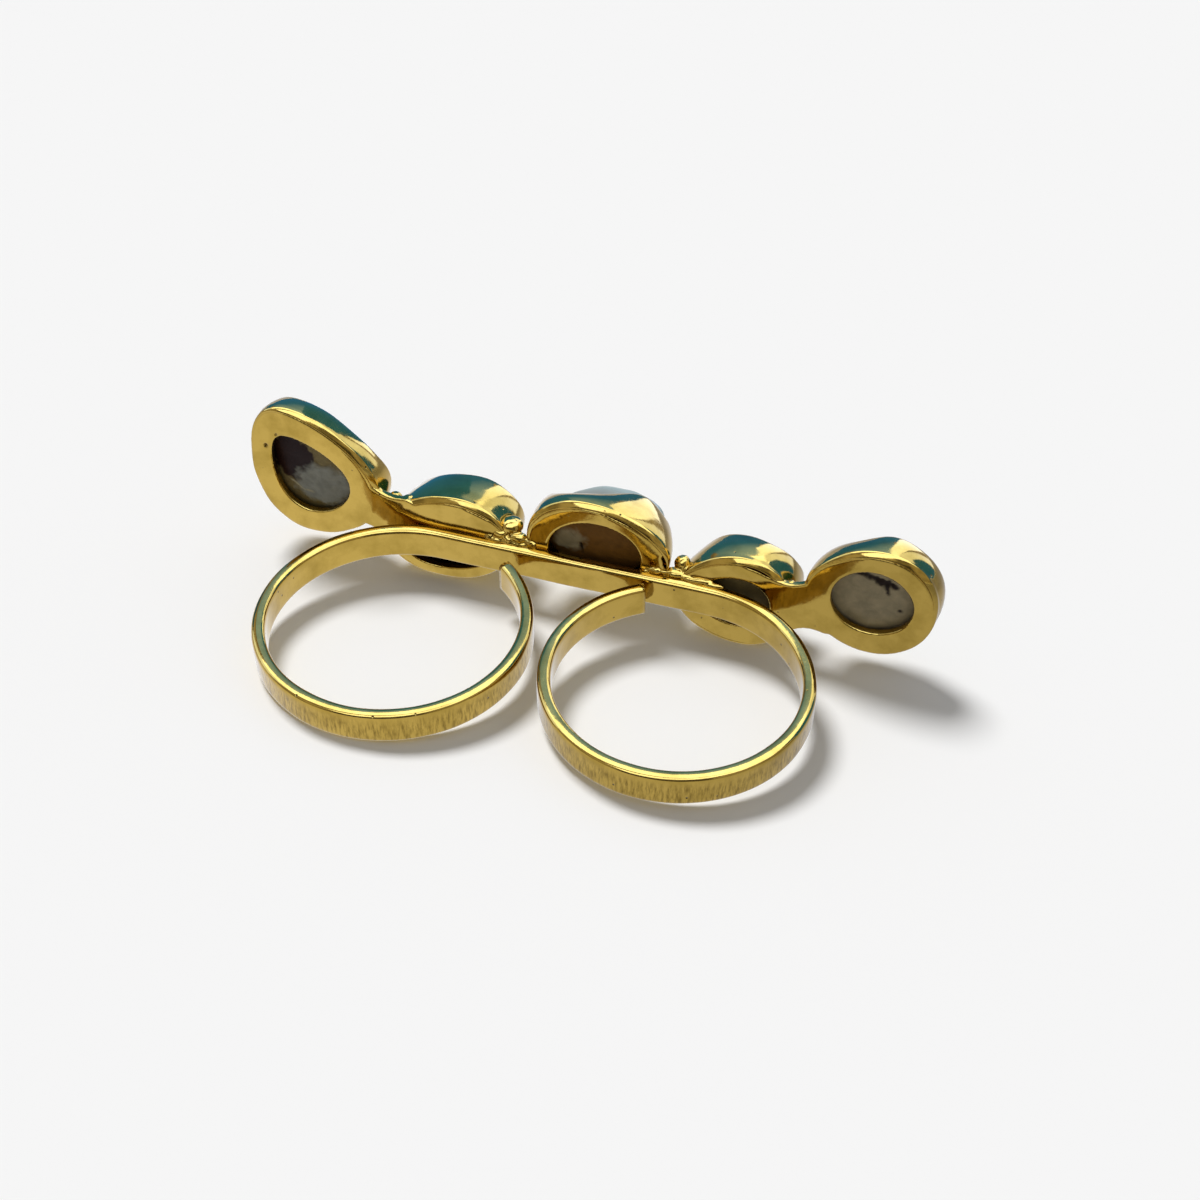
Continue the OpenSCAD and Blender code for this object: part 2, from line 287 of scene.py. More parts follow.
class RingColours(PropertyGroup):
    """Colours of the finishes."""

    gilt: colour("Gilt brass", "Polished gold plate on brass", "#bc9c4a")
    gilt_deep: colour("Gilt brass, worn", "Gold plate where it is thin and the brass shows", "#a5873a")
    pit: colour("Pit", "Casting pits in the metal", "#2c1604")
    streak: colour("Streak", "Streaks of hammering and filing on the strip", "#806628")
    # Brown nacre: the dark brown of the pearls' backs, also painted as shade on the deep top-left of the
    # first pearl's back
    nacre_brown: colour("Brown nacre", "Darkest parts of the pearls' backs", "#1d0803")
    nacre_olive: colour("Olive nacre", "Back of the first and fourth pearls", "#6a5d3a")
    nacre_beige: colour("Beige nacre", "Back of the third pearl", "#6a481a")
    nacre_grey: colour("Grey nacre", "Back of the fifth pearl and a patch on the third's", "#857a60")
    crust: colour("Crust", "Crystalline lump on the first pearl's back", "#76766c")
    pale_line: colour("Pale line", "Thin edge of nacre that lies bare", "#9a9274")
    chip: colour("Chip", "Chips where the dark core lies bare", "#1e1208")
    nacre_pale: colour("Pale nacre", "Front of the pearls", "#a5b6b4")
    paper: colour("Paper", "Floor of the stage", "#f2f2f2")
    sky_foot: colour("Sky, foot", "Dark blue daylight just over the table behind the ring", "#1d5377")
    sky: colour("Sky, low", "Deep blue daylight low behind the ring", "#2862ac")
    sky_high: colour("Sky, high", "Paler daylight higher behind the ring", "#86acff")
    cloud: colour("Cloud", "Bright cool daylight from above and from the right", "#c4d4ff")
    side: colour("Side", "Bright cool daylight from the left", "#b2c6ff")
    table: colour("Table", "Daylight that the table gives back to the metal", "#f2f6ff")
    room: colour("Room", "Walls of the room round the table", "#fffaf0")
    room_dark: colour("Room, dark", "Darker parts of the room", "#a8a39a")


class RingMeshing(PropertyGroup):
    """How finely the pieces are cut."""

    loop_steps: IntProperty(name="Loop steps", description="Steps round one finger loop", default=150, min=24)
    egg_steps: IntProperty(name="Egg steps", description="Steps round one setting", default=72, min=24)
    pearl_steps: IntProperty(name="Pearl steps", description="Steps round one pearl", default=200, min=24)


def sizes():
    """The sizes in millimetres and the angles in radians, by name."""
    group = bpy.context.scene.ring_sizes
    names = [n for n in RingSizes.__annotations__ if n != "rest_shift"]
    found = {n: getattr(group, n) for n in names}
    turns = ("left_gap", "right_gap", "rest_tilt", "rest_turn")
    return {n: v if n in turns else v / MM for n, v in found.items()}


def plate_back():
    """Depth of the back plates' back faces."""
    s = sizes()
    return s["loop_r_left"] + s["strip_t"] - s["solder_sink"]


def wall_foot():
    """Depth of the back plates' front faces, on which the walls stand."""
    return plate_back() + sizes()["plate_t"]


def egg_point(egg, inset, q):
    """Point x, z of an egg at angle q, its outline moved in by inset along and across it."""
    u = (egg.a - inset[0]) * math.cos(q)
    v = (egg.b - inset[1]) * math.sin(q) * (1 + egg.fat * math.cos(q))
    t = math.radians(egg.turn)
    return egg.x + u * math.cos(t) - v * math.sin(t), egg.z + u * math.sin(t) + v * math.cos(t)


def round_curve(values, q):
    """Smooth curve through values that repeat every full turn, at angle q."""
    count = len(values)
    s = q / (2 * math.pi) * count % count
    k = int(s)
    u = s - k
    a, b, c, d = (values[(k + j) % count] for j in (-1, 0, 1, 2))
    return b + 0.5 * u * (c - a + u * (2 * a - 5 * b + 4 * c - d + u * (3 * (b - c) + d - a)))


def wall_spot(i, share, deep, rise, q):
    """Point of wall i at a share of its height and angle q, so deep inside its outer face
    and so far over the place that the share gives."""
    wall = WALLS[i]
    closed = max(0.0, share) ** 1.5
    swell = wall.out * (1 - share) + 0.1 * math.sin(math.pi * share)
    x, z = egg_point(PLATE_EGGS[i], (wall.in_a * closed - swell + deep, wall.in_b * closed - swell + deep), q)
    depth = wall_foot() + share * round_curve(RIMS[i], q) + rise
    return Vector((x + wall.dx * share, depth, z + wall.dz * share))


def laid_down():
    """The matrix from the worn frame in millimetres to the ring on the table in metres."""
    s = sizes()
    return (
        Matrix.Translation(bpy.context.scene.ring_sizes.rest_shift)
        @ Matrix.Rotation(s["rest_turn"], 4, "Y")
        @ Matrix.Rotation(s["rest_tilt"], 4, "X")
        @ Matrix.Scale(MM, 4)
        @ Matrix.Translation((-s["loop_spacing"] / 2, 0, 0))
    )


def clear():
    """Leaves edit mode and selects nothing."""
    if bpy.context.mode != "OBJECT":
        bpy.ops.object.mode_set(mode="OBJECT")
    bpy.ops.object.select_all(action="DESELECT")


def named(name):
    """Names the new object and its mesh."""
    piece = bpy.context.active_object
    piece.name = name
    piece.data.name = name
    return piece


def place_selected(piece, spots):
    """Moves the selected corners to spots, a dict from where they are now."""
    mesh = bmesh.from_edit_mesh(piece.data)
    for v in mesh.verts:
        if v.select:
            v.co = spots[key(v.co)]
    bmesh.update_edit_mesh(piece.data)


def key(point):
    """A point rounded so that it can be looked up."""
    return tuple(round(c, 4) for c in point)


def swept_rings(name, rings):
    """A tube from closed rings of points: a circle, extruded from ring to ring."""
    clear()
    count = len(rings[0])
    bpy.ops.mesh.primitive_circle_add(vertices=count, radius=1)
    piece = named(name)
    now = [v.co.copy() for v in piece.data.vertices]
    bpy.ops.object.mode_set(mode="EDIT")
    bpy.ops.mesh.select_all(action="SELECT")
    for i, ring in enumerate(rings):
        if i:
            bpy.ops.mesh.extrude_edges_move()
        place_selected(piece, {key(a): b for a, b in zip(now, ring)})
        now = [Vector(p) for p in ring]
    bpy.ops.object.mode_set(mode="OBJECT")
    return piece


def close_tube(piece):
    """Bridges the first and the last ring of a tube, and turns its faces outwards."""
    bpy.ops.object.mode_set(mode="EDIT")
    bpy.ops.mesh.select_all(action="DESELECT")
    bpy.ops.mesh.select_non_manifold(extend=False)
    bpy.ops.mesh.bridge_edge_loops()
    outward()


def outward():
    """Turns all faces of the mesh in edit mode outwards, and leaves edit mode."""
    bpy.ops.mesh.select_all(action="SELECT")
    bpy.ops.mesh.remove_doubles(threshold=1e-4)
    bpy.ops.mesh.normals_make_consistent(inside=False)
    bpy.ops.object.mode_set(mode="OBJECT")


def joined(parts, name):
    """Joins parts into one piece."""
    clear()
    for part in parts:
        part.select_set(True)
    bpy.context.view_layer.objects.active = parts[0]
    if len(parts) > 1:
        bpy.ops.object.join()
    return named(name)


def modify(piece, kind, **settings):
    """Adds a modifier with its settings and applies it."""
    bpy.context.view_layer.objects.active = piece
    bpy.ops.object.modifier_add(type=kind)
    modifier = piece.modifiers[-1]
    for setting, value in settings.items():
        setattr(modifier, setting, value)
    bpy.ops.object.modifier_apply(modifier=modifier.name)


def hammered(piece, wave, depth, seed):
    """Gives a surface the soft unevenness of handwork: waves of one length and depth."""
    mesh = piece.data
    shift = Vector((seed * 7.3, seed * 3.1, seed * 5.7))
    normals = [v.normal.copy() for v in mesh.vertices]
    for v, n in zip(mesh.vertices, normals):
        v.co += n * depth * noise.noise(v.co / wave + shift)
    mesh.update()


def finished(piece, slot, *nodes):
    """Smooths a piece, lays it down and ties it to the frame."""
    clear()
    piece.select_set(True)
    bpy.context.view_layer.objects.active = piece
    bpy.ops.object.shade_smooth()
    piece.data.transform(laid_down())
    piece.data.update()
    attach(piece, "root")
    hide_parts(*nodes)
    clear()
    return piece


def add(tree, kind, values=None, links=None, **settings):
    """Adds a node to a material: its settings, its sockets' values and what they are linked to."""
    made = tree.nodes.new(kind)
    for setting, value in settings.items():
        setattr(made, setting, value)
    for socket, value in (values or {}).items():
        made.inputs[socket].default_value = value
    for socket, source in (links or {}).items():
        tree.links.new(source, made.inputs[socket])
    return made


def new_material(name):
    """An empty material: its node tree, its shader and its object coordinates in millimetres."""
    material = bpy.data.materials.new(name)
    material.use_nodes = True
    tree = material.node_tree
    tree.nodes.clear()
    shader = add(tree, "ShaderNodeBsdfPrincipled")
    add(tree, "ShaderNodeOutputMaterial", links={"Surface": shader.outputs["BSDF"]})
    place = add(tree, "ShaderNodeTexCoord").outputs["Object"]
    scaled = add(tree, "ShaderNodeVectorMath", operation="SCALE", values={"Scale": 1 / MM}, links={0: place})
    return material, tree, shader, scaled.outputs["Vector"]


def spread(tree, value, low, high, start=0.0, end=1.0):
    """Maps a value that runs from low to high onto start to end, and no further."""
    made = add(
        tree, "ShaderNodeMapRange",
        {"From Min": low, "From Max": high, "To Min": start, "To Max": end}, {"Value": value})
    return made.outputs["Result"]


def times(tree, a, b):
    """The product of two values."""
    made = add(tree, "ShaderNodeMath", operation="MULTIPLY", links={0: a, 1: b})
    return made.outputs["Value"]


def grown_noise(tree, place, wave, detail, roughness, distortion=0.0):
    """Soft noise whose largest waves are this long, in the unit that place is in."""
    made = add(
        tree, "ShaderNodeTexNoise",
        {"Scale": 1 / wave, "Detail": detail, "Roughness": roughness, "Distortion": distortion},
        {"Vector": place})
    return made.outputs["Fac"]


def pit_shares(tree, place):
    """How far each spot of the metal lies in a casting pit, where it is coloured dark. Tiny pits are drawn
    all over it, about a tenth of a millimetre wide, and an attribute holds those in the mesh."""
    apart, inner, outer = 0.9, 0.04, 0.1
    cells = add(tree, "ShaderNodeTexVoronoi", {"Scale": 1 / apart}, {"Vector": place})
    pits = spread(tree, cells.outputs["Distance"], outer, inner)
    chosen = add(tree, "ShaderNodeSeparateColor", links={"Color": cells.outputs["Color"]})
    rare = add(
        tree, "ShaderNodeMath", {1: 0.72}, {0: chosen.outputs["Red"]}, operation="GREATER_THAN")
    soot = add(tree, "ShaderNodeAttribute", attribute_name="soot")
    dark = add(
        tree, "ShaderNodeMath", operation="MAXIMUM",
        links={0: times(tree, pits, rare.outputs["Value"]), 1: soot.outputs["Fac"]})
    return dark.outputs["Value"]


def filed_streaks(tree, tone, normal):
    """Upright streaks that hammering and filing left on the strip's outer face, fading out
    towards its upper edge. They are drawn wider than they are, so that they show."""
    wide, high = 0.17, 1.1
    along = add(tree, "ShaderNodeAttribute", attribute_name="strip_place")
    upright = add(
        tree, "ShaderNodeMapping", {"Scale": (1 / wide, 0.0, 1 / high)}, {"Vector": along.outputs["Vector"]})
    lines = grown_noise(tree, upright.outputs["Vector"], 1.0, 3.0, 0.65)
    parts = add(tree, "ShaderNodeSeparateXYZ", links={"Vector": along.outputs["Vector"]})
    outer = spread(tree, parts.outputs["Y"], 0.85, 0.93)
    lower = spread(tree, parts.outputs["Z"], 1.0, 0.3)
    where = times(tree, outer, lower)
    depth = times(tree, spread(tree, lines, 0.42, 0.68), where)
    streaked = add(
        tree, "ShaderNodeMix", {"B": bpy.context.scene.ring_colours.streak},
        {"Factor": depth, "A": tone}, data_type="RGBA")
    grooves = add(
        tree, "ShaderNodeBump", {"Distance": 0.02 * MM},
        {"Strength": where, "Height": lines, "Normal": normal})
    return streaked.outputs["Result"], grooves.outputs["Normal"]


def gilt_brass(name, filed):
    """Brass plated with yellow gold and tumbled to a shine. It mirrors softly, because waves
    of a millimetre or two bend what it mirrors. The grain that tumbling left is drawn
    coarser than it is, so that it shows."""
    material, tree, shader, place = new_material(name)
    colours = bpy.context.scene.ring_colours
    patches = grown_noise(tree, place, 2.2, 5.0, 0.6)
    tint = add(
        tree, "ShaderNodeMix", {"A": colours.gilt, "B": colours.gilt_deep},
        {"Factor": spread(tree, patches, 0.42, 0.68)}, data_type="RGBA", clamp_factor=True)
    dark = pit_shares(tree, place)
    pitted = add(
        tree, "ShaderNodeMix", {"B": colours.pit}, {"Factor": dark, "A": tint.outputs["Result"]},
        data_type="RGBA")
    soft = grown_noise(tree, place, 1.6, 2.0, 0.5)
    fine = grown_noise(tree, place, 0.25, 4.0, 0.6)
    waves = add(tree, "ShaderNodeBump", {"Strength": 1.0, "Distance": 0.02 * MM}, {"Height": soft})
    grain = add(
        tree, "ShaderNodeBump", {"Strength": 0.35, "Distance": 0.006 * MM},
        {"Height": fine, "Normal": waves.outputs["Normal"]})
    tone, normal = pitted.outputs["Result"], grain.outputs["Normal"]
    if filed:
        tone, normal = filed_streaks(tree, tone, normal)
    sunk = add(
        tree, "ShaderNodeBump", {"Strength": 1.0, "Distance": 0.05 * MM}, {"Height": dark, "Normal": normal},
        invert=True)
    shader.inputs["Metallic"].default_value = 1.0
    tree.links.new(tone, shader.inputs["Base Color"])
    tree.links.new(spread(tree, fine, 0.3, 0.7, 0.06, 0.15), shader.inputs["Roughness"])
    tree.links.new(sunk.outputs["Normal"], shader.inputs["Normal"])
    return material


def nacre(name):
    """Baroque pearl: nacre over a brown organic core, grown and not cut. Its back is
    dull and patchy, with chips and a crystalline crust, and its front is smooth and pale.
    Its skin is drawn coarser than nacre grows, so that it shows."""
    material, tree, shader, place = new_material(name)
    patches = grown_noise(tree, place, 0.9, 5.0, 0.6, 0.4)
    grown = add(tree, "ShaderNodeAttribute", attribute_name="grown")
    shaded = add(
        tree, "ShaderNodeVectorMath", operation="SCALE",
        links={0: grown.outputs["Color"], "Scale": spread(tree, patches, 0.3, 0.7, 0.8, 1.2)})
    depth = add(tree, "ShaderNodeAttribute", attribute_name="front")
    whole = add(
        tree, "ShaderNodeMix", {"B": bpy.context.scene.ring_colours.nacre_pale},
        {"Factor": depth.outputs["Fac"], "A": shaded.outputs["Vector"]}, data_type="RGBA")
    fine = grown_noise(tree, place, 0.4, 5.0, 0.6)
    skin = add(tree, "ShaderNodeBump", {"Strength": 0.6, "Distance": 0.05 * MM}, {"Height": fine})
    dull = spread(tree, depth.outputs["Fac"], 0.0, 1.0, 0.5, 0.22)
    tree.links.new(whole.outputs["Result"], shader.inputs["Base Color"])
    tree.links.new(dull, shader.inputs["Roughness"])
    shader.inputs["Specular IOR Level"].default_value = 0.1
    tree.links.new(skin.outputs["Normal"], shader.inputs["Normal"])
    shader.inputs["IOR"].default_value = 1.53
    return material


def paper():
    """Seamless studio paper: matt and pale, with a faint grain that is drawn coarser than it is."""
    material, tree, shader, place = new_material("studio_paper")
    grain = grown_noise(tree, place, 0.6, 3.0, 0.6)
    raised = add(tree, "ShaderNodeBump", {"Strength": 0.1, "Distance": 0.02 * MM}, {"Height": grain})
    tree.links.new(raised.outputs["Normal"], shader.inputs["Normal"])
    shader.inputs["Base Color"].default_value = bpy.context.scene.ring_colours.paper
    shader.inputs["Roughness"].default_value = 0.9
    shader.inputs["Specular IOR Level"].default_value = 0.0
    return material


def new_glow(name):
    """An empty glowing material: its node tree and its object coordinates in metres."""
    material = bpy.data.materials.new(name)
    material.use_nodes = True
    tree = material.node_tree
    tree.nodes.clear()
    return material, tree, add(tree, "ShaderNodeTexCoord").outputs["Object"]


def shine(tree, values, links):
    """Ends a glowing material with its light, whose colour and strength are values or links."""
    light = add(tree, "ShaderNodeEmission", values, links)
    add(tree, "ShaderNodeOutputMaterial", links={"Surface": light.outputs["Emission"]})


def glow(name, low, high, reach, strength):
    """Light that a card gives off: one colour at its foot that turns into another at its top."""
    material, tree, place = new_glow(name)
    height = add(tree, "ShaderNodeSeparateXYZ", links={"Vector": place})
    mixed = add(
        tree, "ShaderNodeMix", {"A": low, "B": high},
        {"Factor": spread(tree, height.outputs["Z"], *reach)}, data_type="RGBA")
    shine(tree, {"Strength": strength}, {"Color": mixed.outputs["Result"]})
    return material


def table_light(name):
    """Daylight that the table gives back to the metal, stronger at the left end of the row
    and weaker away from the ring."""
    material, tree, place = new_glow(name)
    parts = add(tree, "ShaderNodeSeparateXYZ", links={"Vector": place})
    across = spread(tree, parts.outputs["X"], -22 * MM, 22 * MM, 1.22, 0.78)
    away = add(tree, "ShaderNodeVectorMath", operation="LENGTH", links={0: place})
    fade = spread(tree, away.outputs["Value"], 25 * MM, 60 * MM, 1.0, 0.55)
    shine(tree, {"Color": bpy.context.scene.ring_colours.table}, {"Strength": times(tree, across, fade)})
    return material


def room_light(name, strength):
    """Light of the room round the table, in soft patches half a metre wide, some of them darker."""
    colours = bpy.context.scene.ring_colours
    material, tree, place = new_glow(name)
    patches = grown_noise(tree, place, 0.5, 2.0, 0.5)
    mixed = add(
        tree, "ShaderNodeMix", {"A": colours.room_dark, "B": colours.room},
        {"Factor": spread(tree, patches, 0.42, 0.6)}, data_type="RGBA")
    shine(tree, {"Strength": strength}, {"Color": mixed.outputs["Result"]})
    return material


def worn_section(thick, wide, middle):
    """The strip's section at x = 0: flat faces, worn corners and edges domed by filing."""
    count, power, dome = 64, 7, 0.15
    points = []
    for k in range(count):
        c = math.cos(2 * math.pi * k / count)
        s = math.sin(2 * math.pi * k / count)
        y = math.copysign(abs(c) ** (2 / power), c)
        z = math.copysign(abs(s) ** (2 / power), s)
        z *= wide / 2 - dome * y * y * z * z
        points.append(Vector((0, middle + y * thick / 2, z)))
    return points


def strip_places(piece):
    """Stores each corner's place in the flat strip, in millimetres: along it, through it, across it."""
    s = sizes()
    spacing, left, right = s["loop_spacing"], s["loop_r_left"], s["loop_r_right"]
    drop = left - right
    store = piece.data.attributes.new("strip_place", "FLOAT_VECTOR", "POINT")
    for v, row in zip(piece.data.vertices, store.data):
        x, y, z = v.co
        if 0 <= x <= spacing and y > left - 0.1:
            row.vector = (x, y - left, z)
        elif x < spacing / 2:
            turn = (math.atan2(y, x) - math.pi / 2) % (2 * math.pi)
            row.vector = (-turn * left, math.hypot(x, y) - left, z)
        else:
            turn = (math.pi / 2 - math.atan2(y - drop, x - spacing)) % (2 * math.pi)
            row.vector = (spacing + turn * right, math.hypot(x - spacing, y - drop) - right, z)


def lean_edge(piece):
    """Files the upper edge of the straight stretch so that it leans a little towards the
    fingers. The lean runs on a little past both ends and then fades out."""
    s = sizes()
    lean, past, fade = 0.12, 2, 9
    for v, row in zip(piece.data.vertices, piece.data.attributes["strip_place"].data):
        along, deep, high = row.vector
        beyond = max(0.0, -along - past, along - s["loop_spacing"] - past)
        if high > 0:
            v.co.z += lean * max(0.0, 1 - beyond / fade) * (deep - s["strip_t"] / 2)


def select_face_near(piece, point):
    """Selects only the face of the mesh in edit mode whose middle is nearest to a point."""
    bpy.ops.mesh.select_all(action="DESELECT")
    mesh = bmesh.from_edit_mesh(piece.data)
    nearest = min(mesh.faces, key=lambda f: (f.calc_center_median() - Vector(point)).length)
    nearest.select_set(True)
    bmesh.update_edit_mesh(piece.data)


class PEARLRING_OT_band(Operator):
    """Band: one flat strip bent round two fingers, open where its ends come back to the middle"""

    bl_idname = "pearl_ring.band"
    bl_label = "Band"

    def execute(self, context):
        s = sizes()
        steps = context.scene.ring_meshing.loop_steps
        straight_steps = 50
        middle = s["loop_r_left"] + s["strip_t"] / 2
        section = worn_section(s["strip_t"], s["strip_w"], middle)
        clear()
        bpy.ops.mesh.primitive_circle_add(vertices=len(section), radius=1, fill_type="NGON")
        band = named("band")
        now = [v.co.copy() for v in band.data.vertices]
        bpy.ops.object.mode_set(mode="EDIT")
        bpy.ops.mesh.select_all(action="SELECT")
        place_selected(band, {key(a): b for a, b in zip(now, section)})
        bpy.ops.mesh.spin(
            steps=steps, angle=-(2 * math.pi - s["left_gap"]), center=(0, 0, 0), axis=(0, 0, 1))
        select_face_near(band, (0, middle, 0))
        for _ in range(straight_steps):
            bpy.ops.mesh.extrude_region_move(
                TRANSFORM_OT_translate={"value": (s["loop_spacing"] / straight_steps, 0, 0)})
        centre = (s["loop_spacing"], s["loop_r_left"] - s["loop_r_right"], 0)
        bpy.ops.mesh.spin(
            steps=steps, angle=2 * math.pi - s["right_gap"], center=centre, axis=(0, 0, 1))
        outward()
        hammered(band, 3.0, 0.03, 1)
        strip_places(band)
        lean_edge(band)
        band.data.materials.append(gilt_brass("gilt_brass_filed_strip", True))
        finished(band, "gilt_brass", "band_and_settings")
        return {"FINISHED"}


def arc_share(arcs, i, q):
    """How far setting i stands back at angle q by a table of arcs."""
    back = 0.0
    for arc in arcs:
        if arc.setting == i:
            off = (q - math.radians(arc.at) + math.pi) % (2 * math.pi) - math.pi
            back += arc.inset * max(0.0, 1 - (off / math.radians(arc.half)) ** 4)
    return back


def plate_inset(i, q):
    """How far plate i stands back from its outline at angle q, inside the lip of its wall."""
    return 0.08 - WALLS[i].out + arc_share(BEVELS, i, q) + arc_share(SEAMS, i, q)


def sheet_edge(i, hole):
    """Rings of points over the thickness of a back plate: its outside, or its hole."""
    egg = (HOLE_EGGS if hole else PLATE_EGGS)[i]
    count = 120
    points = []
    for k in range(count):
        q = 2 * math.pi * k / count
        inset = 0.0 if hole else plate_inset(i, q)
        points.append(egg_point(egg, (inset, inset), q))
    return [[Vector((x, y, z)) for x, z in points] for y in (plate_back(), wall_foot())]


def neck_line(members, neck):
    """Start, way along and way across of the neck between two plates."""
    a, b = (Vector((PLATE_EGGS[i].x, PLATE_EGGS[i].z + neck.shift)) for i in members)
    along = b - a
    return a, along, Vector((-along.y, along.x)).normalized()


def neck_half(neck, u):
    """Half width of a neck, from its one end at u = 0 to the other at u = 1."""
    return neck.waist + neck.flare * min(1.0, (2 * u - 1) ** 2)


def neck_rings(members, neck):
    """Rings of points round a neck, from its back to its front. Its ends run on into the plates."""
    a, along, side = neck_line(members, neck)
    first, last = NECK_FROM - 0.03, NECK_FROM + NECK_LONG + 0.06
    steps, thin = 20, 0.02
    outline = []
    for way in (1, -1):
        for k in range(steps + 1):
            share = first + (last - first) * (k / steps if way == 1 else 1 - k / steps)
            half = neck_half(neck, (share - NECK_FROM) / NECK_LONG)
            outline.append(a + along * share + side * half * way)
    return [[Vector((p.x, y, p.y)) for p in outline] for y in (plate_back() + thin, wall_foot() - thin)]


def neck_cover(x, z):
    """How far a neck covers the place x, z: 0 outside it and 1 well inside it."""
    for members, neck in SHEETS:
        if neck:
            a, along, side = neck_line(members, neck)
            off = Vector((x, z)) - a
            u = (off.dot(along) / along.length_squared - NECK_FROM) / NECK_LONG
            half = neck_half(neck, u)
            if 0 < u < 1 and abs(off.dot(side)) < half:
                return min(1.0, (half - abs(off.dot(side))) / 0.25)
    return 0.0


def pitted(piece):
    """Sinks the casting pits into the back of a sheet and stores where they are dark."""
    back = plate_back() + 0.2
    store = piece.data.attributes.new("soot", "FLOAT", "POINT")
    for v, row in zip(piece.data.vertices, store.data):
        if v.co.y < back:
            dips = [
                (pit.depth, math.exp(-((v.co.x - pit.x) ** 2 + (v.co.z - pit.z) ** 2) / pit.r ** 2))
                for pit in PITS]
            row.value = max(dip for depth, dip in dips)
            v.co.y += sum(depth * dip for depth, dip in dips)


class PEARLRING_OT_plates(Operator):
    """Back plates: three flat sheets with an egg-shaped hole behind each pearl, two of them figure-eights"""

    bl_idname = "pearl_ring.plates"
    bl_label = "Back plates"

    def execute(self, context):
        for number, (members, neck) in enumerate(SHEETS):
            parts = []
            for i in members:
                outside, hole = sheet_edge(i, False), sheet_edge(i, True)
                plate = swept_rings("plate", [hole[0], outside[0], outside[1], hole[1]])
                close_tube(plate)
                parts.append(plate)
            if neck:
                bridge = swept_rings("neck", neck_rings(members, neck))
                bpy.ops.object.mode_set(mode="EDIT")
                bpy.ops.mesh.select_all(action="DESELECT")
                bpy.ops.mesh.select_non_manifold(extend=False)
                bpy.ops.mesh.fill_holes(sides=0)
                outward()
                parts.append(bridge)
            sheet = joined(parts, "back_sheet_%d" % (number + 1))
            modify(sheet, "REMESH", mode="VOXEL", voxel_size=0.1)
            modify(sheet, "SMOOTH", factor=0.5, iterations=3)
            hammered(sheet, 4.0, 0.03, number + 2)
            pitted(sheet)
            sheet.data.materials.append(gilt_brass("gilt_brass_sheet_%d" % (number + 1), False))
            finished(sheet, "gilt_brass", "band_and_settings")
        return {"FINISHED"}


def wall_rings(i, count):
    """Rings of points round wall i: up its inside, over the rim, down its outside and round the lip."""
    s = sizes()
    angles = [2 * math.pi * k / count for k in range(count)]
    rings = [
        [wall_spot(i, share, deep * s["wall_t"], rise, q) for q in angles]
        for share, rise, deep in UPPER_ROWS]
    for row in LIP_ROWS:
        ring = []
        for q in angles:
            share = min(1.0, arc_share(BEVELS, i, q) / BEVELS[i].inset)
            high = row.high + (row.bevel_high - row.high) * share
            deep = row.deep + (row.bevel_deep - row.deep) * share
            spot = wall_spot(i, 0.0, deep, high - s["plate_t"], q)
            lift = max(0.0, 0.3 - high) * neck_cover(spot.x, spot.z)
            ring.append(spot + Vector((0, lift, 0)))
        rings.append(ring)
    return rings


class PEARLRING_OT_walls(Operator):
    """Bezel walls: one strip of thin metal round each pearl, its rim pressed in over the pearl"""

    bl_idname = "pearl_ring.walls"
    bl_label = "Bezel walls"

    def execute(self, context):
        steps = context.scene.ring_meshing.egg_steps
        for i in range(len(WALLS)):
            piece = swept_rings("bezel_wall_%d" % (i + 1), wall_rings(i, steps))
            close_tube(piece)
            modify(piece, "SUBSURF", levels=2, render_levels=2)
            hammered(piece, 2.4, 0.08, i + 11)
            piece.data.materials.append(gilt_brass("gilt_brass_wall_%d" % (i + 1), False))
            finished(piece, "gilt_brass", "band_and_settings")
        return {"FINISHED"}


class PEARLRING_OT_granules(Operator):
    """Gold balls in the notches and crumbs of solder along the strip"""

    bl_idname = "pearl_ring.granules"
    bl_label = "Granules and solder"

    def execute(self, context):
        clear()
        parts = []
        dice = random.Random(7)
        crumbs = [
            Ball(dice.uniform(first, last), dice.uniform(9.45, 9.7), dice.uniform(1.1, 1.5),
                 dice.uniform(0.1, 0.19), dice.uniform(1.0, 2.0), 1.0)
            for first, last, many in CRUMBS for _ in range(many)]
        for ball in GRANULES + SOLDER + tuple(crumbs):
            bpy.ops.mesh.primitive_ico_sphere_add(
                subdivisions=4, radius=ball.r, location=(ball.x, ball.y, ball.z))
            context.active_object.scale = (ball.long, 1.0, ball.flat)
            parts.append(context.active_object)
        piece = joined(parts, "granules_and_solder")
        bpy.ops.object.transform_apply(location=True, rotation=True, scale=True)
        modify(piece, "REMESH", mode="VOXEL", voxel_size=0.06)
        modify(piece, "SMOOTH", factor=0.5, iterations=4)
        hammered(piece, 0.6, 0.06, 21)
        hammered(piece, 0.22, 0.015, 22)
        piece.data.materials.append(gilt_brass("gilt_brass_solder", False))
        finished(piece, "gilt_brass", "band_and_settings")
        return {"FINISHED"}


